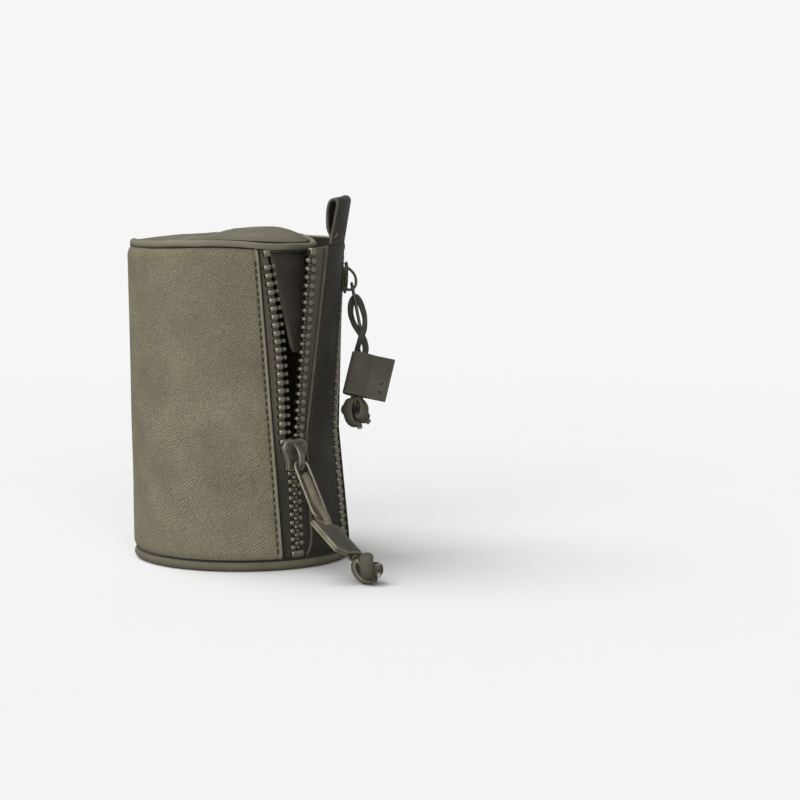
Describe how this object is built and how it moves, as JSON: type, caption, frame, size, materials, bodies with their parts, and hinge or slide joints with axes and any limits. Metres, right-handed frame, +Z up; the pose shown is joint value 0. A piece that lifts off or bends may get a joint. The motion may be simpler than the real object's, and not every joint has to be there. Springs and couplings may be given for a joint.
{
  "type": "lens pouch",
  "caption": "Padded round leather pouch for a camera lens, with a lid, chunky zips down its side, corded pulls and a hanging loop on the strip that opens its mouth.",
  "frame": {"origin": "middle of the flat underside of the base", "axes": "+Z up the pouch, -Y towards the viewer, +X to the viewer's right, where the strip between the zips is"},
  "size_m": [0.1226, 0.1345, 0.1665],
  "materials": {
    "canvas_leather": "matt olive leather with a fine twill grain",
    "dark_leather": "smooth matt dark olive leather",
    "foam": "closed-cell padding",
    "lining_cloth": "dark brushed lining",
    "base_card": "stiff board",
    "zip_tape": "woven zip tape",
    "tooth_metal": "dull gunmetal with worn bright edges",
    "slider_metal": "dull gunmetal",
    "lace_leather": "waxed leather lace with pale cut ends"
  },
  "bodies": {
    "pouch": {"wrap_panel": "canvas_leather", "wall_padding": "foam", "wall_lining": "lining_cloth", "base_disc": "canvas_leather", "base_board": "base_card", "base_felt": "lining_cloth", "base_piping": "canvas_leather", "cap_leather": "canvas_leather", "cap_padding": "foam", "cap_lining": "lining_cloth", "cap_piping": "canvas_leather", "inner_tongue": "dark_leather", "strip_lower": "dark_leather", "front_zip_tape_left": "zip_tape", "front_zip_tape_right": "zip_tape", "rear_zip_tape_front": "zip_tape", "rear_zip_tape_back": "zip_tape", "front_zip_teeth_left": "tooth_metal", "front_zip_teeth_right": "tooth_metal", "rear_zip_teeth_front": "tooth_metal", "rear_zip_teeth_back": "tooth_metal", "front_zip_stop_left": "tooth_metal", "rear_zip_stop_front": "tooth_metal", "rear_zip_stop_back": "tooth_metal", "front_zip_bottom_stop": "tooth_metal", "rear_zip_bottom_stop": "tooth_metal"},
    "mouth_flap": {"strip_flap": "dark_leather", "hang_loop": "dark_leather", "flap_zip_tape": "zip_tape", "flap_zip_teeth": "tooth_metal", "flap_zip_stop": "tooth_metal"},
    "front_slider": {"front_slider": "slider_metal"},
    "front_pull": {"front_pull_link": "slider_metal", "front_pull_lace": "lace_leather", "front_pull_sleeve": "dark_leather", "front_pull_knot": "lace_leather"},
    "rear_slider": {"rear_slider": "slider_metal"},
    "rear_pull": {"rear_pull_link": "slider_metal", "rear_pull_lace": "lace_leather", "rear_pull_sleeve": "dark_leather", "rear_pull_knot": "lace_leather"}
  },
  "joints": [
    {"name": "mouth_flap_swing", "type": "hinge", "parent": "pouch", "child": "mouth_flap", "pos_m": [0.04157, -0.01484, 0.05875], "axis": [0.0638, 0.1234, 0.9903], "range_deg": [0, 45]},
    {"name": "front_zip_slide", "type": "slide", "parent": "pouch", "child": "front_slider", "axis": [-0.0433, 0.039, 0.9983], "range_m": [-0.0345, 0], "deforming": ["front_zip_teeth_left", "front_zip_teeth_right"]},
    {"name": "front_pull_swing", "type": "hinge", "parent": "front_slider", "child": "front_pull", "pos_m": [0.02724, -0.04256, 0.04912], "axis": [-0.803, -0.5959, -0.0115], "range_deg": [0, 100]},
    {"name": "rear_zip_slide", "type": "slide", "parent": "pouch", "child": "rear_slider", "axis": [0.0449, 0.1246, 0.9912], "range_m": [-0.045, 0.004], "deforming": ["rear_zip_teeth_front", "rear_zip_teeth_back"]},
    {"name": "rear_pull_swing", "type": "hinge", "parent": "rear_slider", "child": "rear_pull", "pos_m": [0.05004, 0.00091, 0.12424], "axis": [0.0312, -0.9919, 0.1233], "range_deg": [0, 120]}
  ]
}
